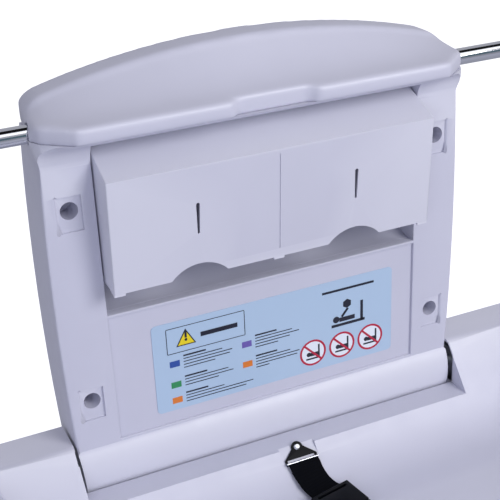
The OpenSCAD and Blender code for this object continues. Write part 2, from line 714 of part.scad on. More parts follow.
module bed_tray() color(white) difference() {
    union() {
        difference() {
            intersection() {
                basin(bed_wall);
                along_z(bed_bottom, rim_z + 1) bed_plan(1);
                along_x(2 * bed_w) bed_side();
            }
            basin();
        }
        // rim
        intersection() {
            along_z(bed_bottom, rim_z + 1) bed_plan();
            along_x(2 * bed_w) difference() {
                bed_side();
                bed_side(bed_wall);
            }
        }
        // shelf in front of the roll, with the cheeks at its ends
        box([-notch_half_w - bed_wall, crease_y - 6, shelf_z - bed_wall],
            [notch_half_w + bed_wall, shelf_y, rim_z - 2]);
        // seat of the rear strap anchor
        intersection() {
            at_rear_anchor() box([-seat_half_w, -34, -bed_wall], [seat_half_w, 15, 20]);
            along_x(200) bed_side(1);
        }
    }
    difference() {
        basin();
        box([-notch_half_w - bed_wall, crease_y, shelf_z - bed_wall],
            [notch_half_w + bed_wall, crease_y + 1, shelf_z]);
    }
    box([-notch_half_w, crease_y - 8, shelf_z], [notch_half_w, 1, rim_z + 40]);
    along_z(bed_bottom - 1, rim_z + 40) translate([-notch_half_w, shelf_y])
        square([2 * notch_half_w, unit_depth + 40]);
    at_rear_anchor() anchor_pocket();
    at_rear_anchor() translate([0, 0, -10]) cylinder(d = 4, h = 20);
    at_front_anchor() translate([0, 0, -10]) cylinder(d = 4, h = 20);
}

module at_shell_screws() for (x = [-400, -200, 0, 200, 400], y = [bed_front + 60, shelf_y - 46])
    translate([x, y, bed_bottom]) children();

module bed_shell() color(white) difference() {
    intersection() {
        along_z(bed_bottom, rim_z) bed_plan();
        along_x(2 * bed_w) bed_side(bed_wall);
    }
    difference() {
        intersection() {
            along_z(bed_bottom, rim_z + 1) bed_plan(bed_wall);
            along_x(2 * bed_w) bed_side(-2, bed_wall);
        }
        // screw posts under the basin
        at_shell_screws() cylinder(d = 12, h = bed_thick);
    }
    basin(bed_wall);
    box([-notch_half_w - bed_wall, crease_y - 8, shelf_z - bed_wall], [notch_half_w + bed_wall, 0, rim_z]);
    at_rear_anchor() box([-seat_half_w - seat_gap, -35, -bed_wall - 0.2], [seat_half_w + seat_gap, 16, 40]);
    at_shell_screws() translate([0, 0, -1]) cylinder(d = 4, h = bed_thick + 2);
    rod_x(-shaft_half, shaft_half, hinge_y, hinge_z, shaft_d + 1);
}

module bed_shell_screws() color(steel) at_shell_screws() {
    cylinder(d = 4, h = bed_thick - bed_wall - 1);
    translate([0, 0, -1.6]) cylinder(d = 8, h = 1.6);
}

// Steel plate inside each wing that holds the end of the hinge shaft.
module hinge_plate() difference() {
    translate([plate_x + plate_t / 2, 0, 0]) along_x(plate_t)
        polygon([[hinge_y + 24, hinge_z + 20], [hinge_y - 20, hinge_z + 20], [hinge_y - 34, hinge_z - 10],
            [hinge_y - 34, hinge_z - 46], [hinge_y + 6, hinge_z - 42], [hinge_y + 24, hinge_z - 12]]);
    rod_x(plate_x - 1, plate_x + plate_t + 1, hinge_y, hinge_z, shaft_d);
}
module hinge_plate_left() color(steel) on(-1) hinge_plate();
module hinge_plate_right() color(steel) on(1) hinge_plate();

// ---------- strap ----------

// Tapered plate with a screw hole at its narrow end and a slot for the webbing bar.
module anchor_plate() difference() {
    union() {
        cylinder(r = 8, h = 3);
        linear_extrude(3) polygon([[-7, 0], [7, 0], [web_w / 2 + 1, -14], [web_w / 2 + 1, -22],
            [-web_w / 2 - 1, -22], [-web_w / 2 - 1, -14]]);
    }
    translate([2 - web_w / 2, -18.5, -1]) cube([web_w - 4, 4, 5]);
    translate([0, 0, -1]) cylinder(d = 5, h = 5);
}
module anchor_plate_rear() color(black) at_rear_anchor() anchor_plate();
module anchor_plate_front() color(black) at_front_anchor() anchor_plate();

// Bright steel bar across the plate, around which the webbing is sewn.
module anchor_bar() translate([-web_w / 2 - 1, -bar_run, 3 + bar_d / 2]) rotate([0, 90, 0])
    cylinder(d = bar_d, h = web_w + 2);
module anchor_bar_rear() color("silver") at_rear_anchor() anchor_bar();
module anchor_bar_front() color("silver") at_front_anchor() anchor_bar();

module anchor_screw() {
    translate([0, 0, -7]) cylinder(d = 4, h = 10);
    translate([0, 0, 3]) cylinder(d1 = 9, d2 = 6, h = 2);
}
module anchor_screws() color("silver") {
    at_rear_anchor() anchor_screw();
    at_front_anchor() anchor_screw();
}

// Frame of the buckle: origin at the middle of its rear edge, +Y towards the rear anchor.
module at_buckle() translate([buckle_x, buckle_y, buckle_z]) rotate([buckle_pitch, 0, strap_yaw]) children();

// Flat band of webbing through a list of [x, y, z, heading] stations.
module band(stations, w) loft([for (p = stations)
    let (c = cos(p[3]) * w / 2, s = sin(p[3]) * w / 2)
        [[p[0] - c, p[1] - s, p[2]], [p[0] + c, p[1] + s, p[2]],
            [p[0] + c, p[1] + s, p[2] + web_t], [p[0] - c, p[1] - s, p[2] + web_t]]]);

module strap_rear() color(black) band(strap_rear_route, web_w);

module strap_front() color(black) band(strap_front_route, web_w);

// Plastic slide that shortens the front strap.
module strap_slider() color(black) translate([buckle_x + 22, tail_y - 30, floor_z + strap_lift + web_t])
    rotate([0, 0, 4]) difference() {
    translate([-web_w / 2 - 5, -13, 0]) cube([web_w + 10, 26, 4]);
    for (y = [-9, 3]) translate([-web_w / 2 - 1, y, -1]) cube([web_w + 2, 6, 6]);
}

// Hollow half of the side-release buckle.
module buckle_socket() color(black) at_buckle() difference() {
    translate([-buckle_w / 2, -44, 0]) cube([buckle_w, 44, buckle_t]);
    // cavity for the tongue and its arms
    translate([3 - buckle_w / 2, -45, 2.5]) cube([buckle_w - 6, 34, buckle_t - 5]);
    // side windows for the release tabs
    for (s = [-1, 1]) translate([s * buckle_w / 2 - 4, -34, 1.8]) cube([8, 20, buckle_t - 3.6]);
    // webbing slot
    translate([-web_w / 2 - 1, -8, -1]) cube([web_w + 2, 4, buckle_t + 2]);
}

// Pronged half of the buckle: a cross bar, a middle guide and a webbing slot.
module buckle_tongue() color(black) at_buckle() difference() {
    union() {
        translate([-buckle_w / 2, -buckle_len, 1]) cube([buckle_w, buckle_len - 44.5, buckle_t - 2]);
        translate([-6, -46, 3.2]) cube([12, 32, buckle_t - 6.4]);
    }
    translate([-web_w / 2 - 1, -buckle_len + 4, -1]) cube([web_w + 2, 5, buckle_t + 2]);
}

// Springy release tab: its shoulder shows in the side window and is squeezed inwards.
module buckle_tab() {
    translate([buckle_w / 2 - 5.5, -33, 3.2]) cube([5.5 + tab_travel, 18, buckle_t - 6.4]);
    translate([buckle_w / 2 - 10, -43, 3.2]) cube([5, 28, buckle_t - 6.4]);
}
module buckle_tab_left() color(black) at_buckle() on(-1) buckle_tab();
module buckle_tab_right() color(black) at_buckle() on(1) buckle_tab();

wall_housing();
crown_cover();
back_plate();
back_plate_screws();
side_frame_left();
side_frame_right();
shaft_bush_left();
shaft_bush_right();
hinge_shaft();
stop_lever_left();
stop_lever_right();
stop_pad_left();
stop_pad_right();
rotary_damper_left();
rotary_damper_right();
dispenser_tray();
dispenser_door();
door_pin_left();
door_pin_right();
door_catch();
label_plate();
hanging_rail();
rail_clamp_left();
rail_clamp_right();
rail_clamp_screws();
rail_cap_left();
rail_cap_right();
bed_tray();
bed_shell();
bed_shell_screws();
hinge_plate_left();
hinge_plate_right();
anchor_plate_rear();
anchor_plate_front();
anchor_bar_rear();
anchor_bar_front();
anchor_screws();
strap_rear();
strap_front();
strap_slider();
buckle_socket();
buckle_tongue();
buckle_tab_left();
buckle_tab_right();
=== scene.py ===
"""Looks of a wall-mounted, fold-down baby changing station.

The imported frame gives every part's size and place. This script rounds the mouldings'
edges, models the small and soft parts in full, and gives each one its finish.
"""

from __future__ import annotations

import json
import logging
import math
from dataclasses import dataclass, field
from enum import Enum
from typing import Callable, Sequence

import bmesh
import bpy
from mathutils import Matrix, Vector

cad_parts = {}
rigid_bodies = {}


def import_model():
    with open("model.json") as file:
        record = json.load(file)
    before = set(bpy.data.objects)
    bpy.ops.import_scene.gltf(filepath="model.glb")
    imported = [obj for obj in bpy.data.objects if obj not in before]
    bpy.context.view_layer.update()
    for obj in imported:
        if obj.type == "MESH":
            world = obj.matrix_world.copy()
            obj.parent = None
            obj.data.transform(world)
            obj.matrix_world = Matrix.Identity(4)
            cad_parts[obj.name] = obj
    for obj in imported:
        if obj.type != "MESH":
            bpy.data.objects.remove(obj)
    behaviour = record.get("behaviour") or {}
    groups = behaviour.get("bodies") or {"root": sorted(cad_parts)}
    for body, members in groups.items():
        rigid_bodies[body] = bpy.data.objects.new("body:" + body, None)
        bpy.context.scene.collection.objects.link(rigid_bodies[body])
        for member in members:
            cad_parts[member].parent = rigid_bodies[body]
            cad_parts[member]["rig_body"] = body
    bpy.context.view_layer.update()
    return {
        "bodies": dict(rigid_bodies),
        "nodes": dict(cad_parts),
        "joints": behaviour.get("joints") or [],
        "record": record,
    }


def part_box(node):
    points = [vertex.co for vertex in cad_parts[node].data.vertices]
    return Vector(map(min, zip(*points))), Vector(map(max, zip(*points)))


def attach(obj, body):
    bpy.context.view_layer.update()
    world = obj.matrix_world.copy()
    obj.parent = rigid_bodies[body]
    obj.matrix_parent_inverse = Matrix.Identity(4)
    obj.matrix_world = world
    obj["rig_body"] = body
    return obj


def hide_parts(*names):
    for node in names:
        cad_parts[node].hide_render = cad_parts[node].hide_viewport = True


LOG = logging.getLogger("changing_station")
MM = 0.001


class Body(Enum):
    """The bodies that move on their own."""

    WALL = "wall_unit"
    BED = "bed"
    DOOR = "door"
    TAB_LEFT = "tab_left"
    TAB_RIGHT = "tab_right"


class Side(Enum):
    """The two sides of the station, as the sign of X."""

    LEFT = -1
    RIGHT = 1

    @property
    def word(self) -> str:
        """The side's name as it stands in node names."""
        return self.name.lower()


# ---------- materials ----------


def linear(code: str) -> tuple[float, float, float, float]:
    """Turn an sRGB hex colour to linear light.

    Args:
        code: The colour as six hex digits after a hash sign.

    Returns:
        Red, green, blue and an alpha of 1.
    """
    parts = [int(code[i : i + 2], 16) / 255 for i in (1, 3, 5)]
    light = [c / 12.92 if c <= 0.04045 else ((c + 0.055) / 1.055) ** 2.4 for c in parts]
    return (light[0], light[1], light[2], 1.0)


def add_node(tree: bpy.types.NodeTree, kind: str, values: dict | None = None,
             **settings) -> bpy.types.Node:
    """Add one node to a material.

    Args:
        tree: The material's node tree.
        kind: The node's type after "ShaderNode".
        values: Input name or number to a constant, or to another node's output socket.
        settings: The node's own settings by name.

    Returns:
        The new node.
    """
    made = tree.nodes.new("ShaderNode" + kind)
    for name, value in settings.items():
        setattr(made, name, value)
    for key, value in (values or {}).items():
        if isinstance(value, bpy.types.NodeSocket):
            tree.links.new(value, made.inputs[key])
        else:
            made.inputs[key].default_value = value
    return made


@dataclass(frozen=True)
class Finish:
    """A finish: its name, the record's slot, its colour and its surface."""

    name: str
    slot: str
    colour: str
    roughness: float = 0.45
    metallic: float = 0.0
    specular: float = 0.5

    def material(self) -> bpy.types.Material:
        """The finish's material, made once and then shared."""
        found = bpy.data.materials.get(self.name)
        if found:
            return found
        made = bpy.data.materials.new(self.name)
        made.use_nodes = True
        made.diffuse_color = linear(self.colour)
        tree = made.node_tree
        shader = tree.nodes["Principled BSDF"]
        shader.inputs["Base Color"].default_value = linear(self.colour)
        shader.inputs["Roughness"].default_value = self.roughness
        shader.inputs["Metallic"].default_value = self.metallic
        shader.inputs["Specular IOR Level"].default_value = self.specular
        place = add_node(tree, "TexCoord")
        self.dress(tree, shader, place)
        return made

    def dress(self, tree: bpy.types.NodeTree, shader: bpy.types.Node, place: bpy.types.Node) -> None:
        """Add the finish's own nodes. A plain finish has none."""


@dataclass(frozen=True)
class MouldedPlastic(Finish):
    """Rotationally moulded or injected plastic: a fine cast grain, a slow drift of tone and rubbed edges."""

    grain_mm: float = 0.9
    grain_height_mm: float = 0.02
    drift: str = "#BEBECE"
    rubbed: str = "#DEDEE8"
    drift_mm: float = 160.0
    gloss_mm: float = 18.0
    gloss_change: float = 0.05

    def dress(self, tree: bpy.types.NodeTree, shader: bpy.types.Node, place: bpy.types.Node) -> None:
        """Add the grain, the drift of tone, the uneven gloss and the rubbed edges.

        Args:
            tree: The material's node tree.
            shader: The principled shader.
            place: The texture coordinates.
        """
        spot = place.outputs["Object"]
        slow = add_node(tree, "TexNoise", {"Vector": spot, "Scale": 1 / (self.drift_mm * MM), "Detail": 2.0})
        tone = add_node(tree, "Mix", {0: slow.outputs["Fac"], 6: linear(self.colour), 7: linear(self.drift)},
                        data_type="RGBA")
        shape = add_node(tree, "NewGeometry")
        # only outward edges pass the lower limit, and they're lightened by less than half
        edge = add_node(tree, "MapRange", {"Value": shape.outputs["Pointiness"], "From Min": 0.52,
                                           "From Max": 0.62, "To Min": 0.0, "To Max": 0.45})
        worn = add_node(tree, "Mix", {0: edge.outputs["Result"], 6: tone.outputs[2], 7: linear(self.rubbed)},
                        data_type="RGBA")
        tree.links.new(worn.outputs[2], shader.inputs["Base Color"])
        gloss = add_node(tree, "TexNoise", {"Vector": spot, "Scale": 1 / (self.gloss_mm * MM), "Detail": 3.0})
        rough = add_node(tree, "MapRange", {"Value": gloss.outputs["Fac"], "From Min": 0.3, "From Max": 0.7,
                                            "To Min": self.roughness - self.gloss_change,
                                            "To Max": self.roughness + self.gloss_change})
        tree.links.new(rough.outputs["Result"], shader.inputs["Roughness"])
        grain = add_node(tree, "TexNoise", {"Vector": spot, "Scale": 1 / (self.grain_mm * MM), "Detail": 2.0})
        bump = add_node(tree, "Bump", {"Height": grain.outputs["Fac"], "Strength": 1.0,
                                       "Distance": self.grain_height_mm * MM})
        tree.links.new(bump.outputs["Normal"], shader.inputs["Normal"])


@dataclass(frozen=True)
class PolishedChrome(Finish):
    """Chrome plate over a drawn tube: a mirror with the faintest draw lines."""

    metallic: float = 1.0
    roughness: float = 0.06
    line_mm: float = 0.8

    def dress(self, tree: bpy.types.NodeTree, shader: bpy.types.Node, place: bpy.types.Node) -> None:
        """Add faint draw lines along the tube and a little uneven polish."""
        stretch = add_node(tree, "Mapping", {"Vector": place.outputs["Object"], "Scale": (0.02, 1.0, 1.0)})
        lines = add_node(tree, "TexNoise", {"Vector": stretch.outputs["Vector"],
                                            "Scale": 1 / (self.line_mm * MM)})
        rough = add_node(tree, "MapRange", {"Value": lines.outputs["Fac"], "To Min": self.roughness - 0.02,
                                            "To Max": self.roughness + 0.04})
        tree.links.new(rough.outputs["Result"], shader.inputs["Roughness"])


@dataclass(frozen=True)
class ZincSteel(Finish):
    """Zinc-plated steel: a dull metal with cloudy spangle and fine rolling lines."""

    metallic: float = 1.0
    roughness: float = 0.38
    spangle_mm: float = 9.0
    spangle_tone: str = "#C6C9CC"
    line_mm: float = 0.7

    def dress(self, tree: bpy.types.NodeTree, shader: bpy.types.Node, place: bpy.types.Node) -> None:
        """Add the spangle's tone and the rolling lines."""
        spot = place.outputs["Object"]
        cloud = add_node(tree, "TexVoronoi", {"Vector": spot, "Scale": 1 / (self.spangle_mm * MM)})
        tone = add_node(tree, "Mix", {0: cloud.outputs["Distance"], 6: linear(self.colour),
                                      7: linear(self.spangle_tone)}, data_type="RGBA")
        tree.links.new(tone.outputs[2], shader.inputs["Base Color"])
        stretch = add_node(tree, "Mapping", {"Vector": spot, "Scale": (1.0, 1.0, 0.04)})
        lines = add_node(tree, "TexNoise", {"Vector": stretch.outputs["Vector"],
                                            "Scale": 1 / (self.line_mm * MM)})
        rough = add_node(tree, "MapRange", {"Value": lines.outputs["Fac"], "To Min": self.roughness - 0.1,
                                            "To Max": self.roughness + 0.12})
        tree.links.new(rough.outputs["Result"], shader.inputs["Roughness"])


@dataclass(frozen=True)
class Webbing(Finish):
    """Woven polyester webbing: ribs across the band, which the piece's own UV map follows in metres."""

    rib_mm: float = 1.6
    thread_mm: float = 0.8
    weave_height_mm: float = 0.3
    roughness: float = 0.75
    crown_tone: str = "#080910"

    def waves(self, tree: bpy.types.NodeTree, place: bpy.types.Node, pitch_mm: float,
              along: str) -> bpy.types.Node:
        """Even ridges on the band's own map.

        Args:
            tree: The material's node tree.
            place: The texture coordinates.
            pitch_mm: The spacing of the ridges.
            along: The map's axis that they follow each other along.

        Returns:
            The wave texture.
        """
        scale = 1 / (pitch_mm * MM) / 20 * math.pi
        return add_node(tree, "TexWave", {"Vector": place.outputs["UV"], "Scale": scale},
                        wave_type="BANDS", bands_direction=along, wave_profile="SIN")

    def dress(self, tree: bpy.types.NodeTree, shader: bpy.types.Node, place: bpy.types.Node) -> None:
        """Add the weave's height and its lighter thread crowns."""
        ribs = self.waves(tree, place, self.rib_mm, "Y")
        threads = self.waves(tree, place, self.thread_mm, "X")
        weave = add_node(tree, "Math", {0: ribs.outputs["Fac"], 1: threads.outputs["Fac"]},
                         operation="MULTIPLY")
        tone = add_node(tree, "Mix", {0: weave.outputs[0], 6: linear(self.colour),
                                      7: linear(self.crown_tone)}, data_type="RGBA")
        tree.links.new(tone.outputs[2], shader.inputs["Base Color"])
        bump = add_node(tree, "Bump", {"Height": weave.outputs[0], "Strength": 0.8,
                                       "Distance": self.weave_height_mm * MM})
        tree.links.new(bump.outputs["Normal"], shader.inputs["Normal"])


@dataclass(frozen=True)
class SatinMoulding(Finish):
    """Small injected parts of acetal, rubber or nylon: a satin skin with a very fine grain."""

    grain_mm: float = 0.5
    grain_height_mm: float = 0.01

    def dress(self, tree: bpy.types.NodeTree, shader: bpy.types.Node, place: bpy.types.Node) -> None:
        """Add the fine grain and the uneven gloss."""
        spot = place.outputs["Object"]
        grain = add_node(tree, "TexNoise", {"Vector": spot, "Scale": 1 / (self.grain_mm * MM), "Detail": 2.0})
        bump = add_node(tree, "Bump", {"Height": grain.outputs["Fac"], "Strength": 1.0,
                                       "Distance": self.grain_height_mm * MM})
        tree.links.new(bump.outputs["Normal"], shader.inputs["Normal"])
        rough = add_node(tree, "MapRange", {"Value": grain.outputs["Fac"], "To Min": self.roughness - 0.06,
                                            "To Max": self.roughness + 0.06})
        tree.links.new(rough.outputs["Result"], shader.inputs["Roughness"])


# Polyethylene, moulded against a lightly blasted tool: soft sheen, no sharp reflection.
WHITE = MouldedPlastic("white_polyethylene", "white_plastic", "#CACADA", roughness=0.42)
# ABS from a finer tool: the same white with a slightly tighter sheen.
DOOR_WHITE = MouldedPlastic("white_abs_door", "white_plastic", "#CACAD9", roughness=0.38, drift="#C0C0CF")
# ABS dyed mid grey for hidden parts: dull, with paler rubbed edges.
GREY = MouldedPlastic("grey_abs", "grey_plastic", "#A6A7B4", roughness=0.5, drift="#9C9DAB", rubbed="#BEBFCA")
# Chrome plate on a drawn tube: a clean mirror in long bands.
CHROME = PolishedChrome("chrome_plate", "chrome", "#DADCE2")
# Zinc plate on pressed steel: a cloudy grey metal.
STEEL = ZincSteel("zinc_plated_steel", "steel", "#A9ACAF")
# Turned nylon: a warm, milky satin.
NYLON = SatinMoulding("turned_nylon", "nylon", "#E4DFCB", roughness=0.4)
# Moulded rubber: matt black with a coarse skin.
RUBBER = SatinMoulding("moulded_rubber", "black_rubber", "#141416", roughness=0.75, grain_mm=0.8)
# Acetal: near black, with a weak satin reflection.
ACETAL = SatinMoulding("black_acetal", "dark_plastic", "#06070D", roughness=0.42, specular=0.16)
# Powder coat on a pressed plate: near black, with a fine texture.
COAT = SatinMoulding("black_powder_coat", "black_metal", "#07080D", roughness=0.5, specular=0.15,
                     grain_mm=0.35)
# Woven polyester: a black that takes almost no light.
BAND = Webbing("polyester_webbing", "webbing", "#030409", specular=0.06)
# Printed film: pale blue with a smooth face.
LABEL = SatinMoulding("label_film", "label_blue", "#ADC3DC", roughness=0.3, grain_mm=1.2)


# ---------- mesh tools ----------


def edge_angle(edge: bmesh.types.BMEdge) -> float:
    """The angle between an edge's two faces, in degrees, or 0 on an open edge."""
    return math.degrees(edge.calc_face_angle(0.0)) if len(edge.link_faces) == 2 else 0.0


def shade(bm: bmesh.types.BMesh, sharp_deg: float = 32.0) -> None:
    """Shade smooth, with edges sharper than sharp_deg left crisp."""
    for face in bm.faces:
        face.smooth = True
    for edge in bm.edges:
        edge.smooth = edge_angle(edge) < sharp_deg


def round_edges(bm: bmesh.types.BMesh, radius: float, where: Callable[[bmesh.types.BMEdge], bool],
                segments: int = 3, over_deg: float = 30.0) -> None:
    """Round the sharp edges that a test picks.

    Args:
        bm: The mesh to change.
        radius: How far the rounding reaches from the edge, in metres.
        where: Says whether an edge is rounded.
        segments: Facets across the rounding.
        over_deg: Edges flatter than this are left.
    """
    picked = [e for e in bm.edges if edge_angle(e) > over_deg and where(e)]
    if picked:
        bmesh.ops.bevel(bm, geom=picked, offset=radius, offset_type="OFFSET", segments=segments,
                        profile=0.5, affect="EDGES", clamp_overlap=False, material=-1)


def remeshed(bm: bmesh.types.BMesh, grid: float) -> bmesh.types.BMesh:
    """Rebuild a closed shape on an even grid, so that it can be softened.

    Args:
        bm: The shape, which is freed.
        grid: The grid's spacing in metres.

    Returns:
        The rebuilt shape.
    """
    mesh = bpy.data.meshes.new("rough")
    bm.to_mesh(mesh)
    bm.free()
    rough = bpy.data.objects.new("rough", mesh)
    bpy.context.scene.collection.objects.link(rough)
    even = rough.modifiers.new("even", "REMESH")
    even.mode = "VOXEL"
    even.voxel_size = grid
    shown = rough.evaluated_get(bpy.context.evaluated_depsgraph_get())
    made = bmesh.new()
    made.from_mesh(shown.to_mesh())
    shown.to_mesh_clear()
    bpy.data.objects.remove(rough)
    bpy.data.meshes.remove(mesh)
    return made


@dataclass
class Shop:
    """Takes CAD nodes and new meshes to finished pieces on their bodies."""

    frame: dict
    made: list[str] = field(default_factory=list)

    def body_of(self, node: str) -> str:
        """The name of the body that a CAD node rides on."""
        return self.frame["nodes"][node]["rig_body"]

    def copy(self, node: str, whole_faces: bool = True) -> bmesh.types.BMesh:
        """A CAD node's shape with its loose triangles merged.

        Args:
            node: The CAD node's name.
            whole_faces: Whether the triangles of a flat face become one face, which a face with
                holes in it can't.

        Returns:
            The merged shape.
        """
        bm = bmesh.new()
        bm.from_mesh(self.frame["nodes"][node].data)
        bmesh.ops.remove_doubles(bm, verts=bm.verts, dist=0.002 * MM)
        if whole_faces:
            bmesh.ops.dissolve_limit(bm, angle_limit=math.radians(0.1), verts=bm.verts, edges=bm.edges)
        return bm

    def finish(self, bm: bmesh.types.BMesh, name: str, body: str, finish: Finish,
               stands_for: Sequence[str] = (), sharp_deg: float = 32.0) -> bpy.types.Object:
        """Turn a bmesh into a piece with its finish, on its body.

        Args:
            bm: The shape, which is freed.
            name: The piece's name.
            body: The body it rides on.
            finish: Its finish.
            stands_for: CAD nodes that it replaces.
            sharp_deg: Edges sharper than this stay crisp.

        Returns:
            The new object.
        """
        shade(bm, sharp_deg)
        mesh = bpy.data.meshes.new(name)
        bm.to_mesh(mesh)
        bm.free()
        piece = bpy.data.objects.new(name, mesh)
        bpy.context.scene.collection.objects.link(piece)
        mesh.materials.append(finish.material())
        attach(piece, body)
        if stands_for:
            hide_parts(*stands_for)
        self.made.append(name)
        LOG.info("%s: %d faces, rides on %s", name, len(mesh.polygons), body)
        return piece

    def dress(self, node: str, finish: Finish) -> None:
        """Give a CAD node that stays its finish.

        Args:
            node: The CAD node's name.
            finish: Its finish.
        """
        target = self.frame["nodes"][node]
        target.data.materials.clear()
        target.data.materials.append(finish.material())
        LOG.info("%s: carried over in %s", node, finish.name)

    def rounded(self, node: str, finish: Finish, radius_mm: float,
                where: Callable[[bmesh.types.BMEdge], bool] = lambda e: True) -> bpy.types.Object:
        """A CAD node with its edges rounded, in place of the node.

        Args:
            node: The CAD node's name.
            finish: Its finish.
            radius_mm: The rounding.
            where: Picks the edges to round.

        Returns:
            The new piece.
        """
        bm = self.copy(node)
        round_edges(bm, radius_mm * MM, where)
        return self.finish(bm, node + "_finished", self.body_of(node), finish, [node])


def middle(edge: bmesh.types.BMEdge) -> Vector:
    """An edge's middle."""
    return (edge.verts[0].co + edge.verts[1].co) / 2


def longer(edge: bmesh.types.BMEdge, size_mm: float) -> bool:
    """Whether an edge is longer than a size in millimetres."""
    return edge.calc_length() > size_mm * MM


def faces_out(face: bmesh.types.BMFace, at: Vector, low: Vector, high: Vector) -> bool:
    """Whether a face looks away from the middle of a box.

    Args:
        face: The face.
        at: A point on it.
        low: The box's lowest corner.
        high: The box's highest corner.

    Returns:
        True if its normal points away from the box's middle, seen from above.
    """
    away = at - (low + high) / 2
    return face.normal.x * away.x + face.normal.y * away.y > 0


# ---------- label ----------


@dataclass
class LabelPrint:
    """The label's print, a hair above its film: plain bars, chips and simple signs, with no wording."""

    shop: Shop
    ink_mm: float = 0.12
    bar_mm: float = 1.3
    head_extra_mm: float = 1.0
    row_step: float = 0.034
    ring_mm: float = 20.0
    ring_line_mm: float = 3.0
    signs: tuple[float, float, float] = (0.648, 0.776, 0.903)
    signs_down: float = 0.78
    notice_across: float = 0.21
    notice_mm: tuple[float, float] = (109.0, 35.4)
    triangle_at: tuple[float, float] = (0.13, 0.225)
    triangle_mm: float = 16.0
    triangle_edge_mm: float = 3.0
    figure_across: float = 0.805

    def spot(self, across: float, down: float) -> Vector:
        """A place on the label's film.

        Args:
            across: From 0 at its left edge to 1 at its right.
            down: From 0 at its top edge to 1 at its bottom.

        Returns:
            The place, on the film's front.
        """
        low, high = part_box("label_plate")
        return Vector((low.x + across * (high.x - low.x), low.y, high.z - down * (high.z - low.z)))

    def lay(self, bm: bmesh.types.BMesh, verts: list, place: Vector, turn_deg: float = 0.0) -> None:
        """Stand a flat shape up on the film and give it the ink's thickness.

        Args:
            bm: The mesh that holds the shape.
            verts: The shape's vertices, around the origin in the XY plane.
            place: Where its middle goes.
            turn_deg: Its turn in its own plane.
        """
        turn = Matrix.Rotation(math.radians(turn_deg), 3, "Z")
        bmesh.ops.rotate(bm, verts=verts, cent=(0, 0, 0), matrix=turn)
        bmesh.ops.rotate(bm, verts=verts, cent=(0, 0, 0), matrix=Matrix.Rotation(math.pi / 2, 3, "X"))
        bmesh.ops.translate(bm, verts=verts, vec=place)
        faces = list({f for v in verts for f in v.link_faces})
        pulled = bmesh.ops.extrude_face_region(bm, geom=faces)["geom"]
        bmesh.ops.translate(bm, verts=[g for g in pulled if isinstance(g, bmesh.types.BMVert)],
                            vec=(0, -self.ink_mm * MM, 0))

    def bar(self, bm: bmesh.types.BMesh, place: Vector, width_mm: float, height_mm: float,
            turn_deg: float = 0.0) -> None:
        """Add a bar centred on a place."""
        verts = bmesh.ops.create_grid(bm, x_segments=1, y_segments=1, size=0.5)["verts"]
        bmesh.ops.scale(bm, vec=(width_mm * MM, height_mm * MM, 1), verts=verts)
        self.lay(bm, verts, place, turn_deg)

    def disc(self, bm: bmesh.types.BMesh, place: Vector, radius_mm: float, sides: int = 40,
             turn_deg: float = 0.0) -> None:
        """Add a filled disc, or a regular shape with few sides."""
        verts = bmesh.ops.create_circle(bm, cap_ends=True, radius=radius_mm * MM, segments=sides)["verts"]
        self.lay(bm, verts, place, turn_deg)

    def ring(self, bm: bmesh.types.BMesh, place: Vector, radius_mm: float, line_mm: float) -> None:
        """Add an open ring."""
        rims = [bmesh.ops.create_circle(bm, cap_ends=False, radius=r * MM, segments=56)["verts"]
                for r in (radius_mm, radius_mm - line_mm)]
        loops = list({e for rim in rims for v in rim for e in v.link_edges})
        bmesh.ops.bridge_loops(bm, edges=loops)
        self.lay(bm, rims[0] + rims[1], place)

    def done(self, bm: bmesh.types.BMesh, name: str, colour: str) -> None:
        """Turn a printed layer into a piece."""
        bmesh.ops.recalc_face_normals(bm, faces=bm.faces)
        ink = SatinMoulding(name + "_ink", "label_blue", colour, roughness=0.35, grain_mm=1.2)
        self.shop.finish(bm, "label_" + name, Body.WALL.value, ink)

    def build(self) -> None:
        """Print the label's layers."""
        self.dark()
        self.red()
        self.yellow()
        self.chips()

    def dark(self) -> None:
        """The dark layer: the notice box, rows of bars, the heading, the figure and the signs."""
        bm = bmesh.new()
        self.notice(bm)
        self.rows(bm)
        self.figure(bm)
        for across in self.signs:
            self.sign(bm, across)
        self.done(bm, "dark", "#16182A")

    def notice(self, bm: bmesh.types.BMesh) -> None:
        """The notice's thin box, its one thick bar and the mark on its triangle."""
        wide, tall = self.notice_mm
        for down in (0.07, 0.35):
            self.bar(bm, self.spot(self.notice_across, down), wide, 1.0)
        for across in (0.055, 0.365):
            self.bar(bm, self.spot(across, 0.21), 1.0, tall)
        self.bar(bm, self.spot(0.262, 0.21), 52, 6.5)
        above = Vector((0, -self.ink_mm * MM, 0))
        across, down = self.triangle_at
        self.disc(bm, self.spot(across, down) + above, 2.0)
        self.bar(bm, self.spot(across, down - 0.06) + above, 3.0, 10.0)

    def rows(self, bm: bmesh.types.BMesh) -> None:
        """Five blocks of thin bars, each under a short thick one, and the heading's bar.

        A block is its left edge, its top and where each of its bars ends.
        """
        rows = ((0.115, 0.40, (0.27, 0.31, 0.30, 0.24)), (0.115, 0.64, (0.29, 0.31, 0.25)),
                (0.115, 0.83, (0.27, 0.39, 0.36)), (0.405, 0.39, (0.56, 0.59, 0.55, 0.50)),
                (0.405, 0.63, (0.55, 0.59, 0.58, 0.46)))
        wide = (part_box("label_plate")[1].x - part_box("label_plate")[0].x) / MM
        for start, top, ends in rows:
            for row, end in enumerate((start + 0.09, *ends)):
                self.bar(bm, self.spot((start + end) / 2, top + self.row_step * row), (end - start) * wide,
                         self.bar_mm + (self.head_extra_mm if row == 0 else 0.0))
        self.bar(bm, self.spot(self.figure_across, 0.12), 80, 3.4)

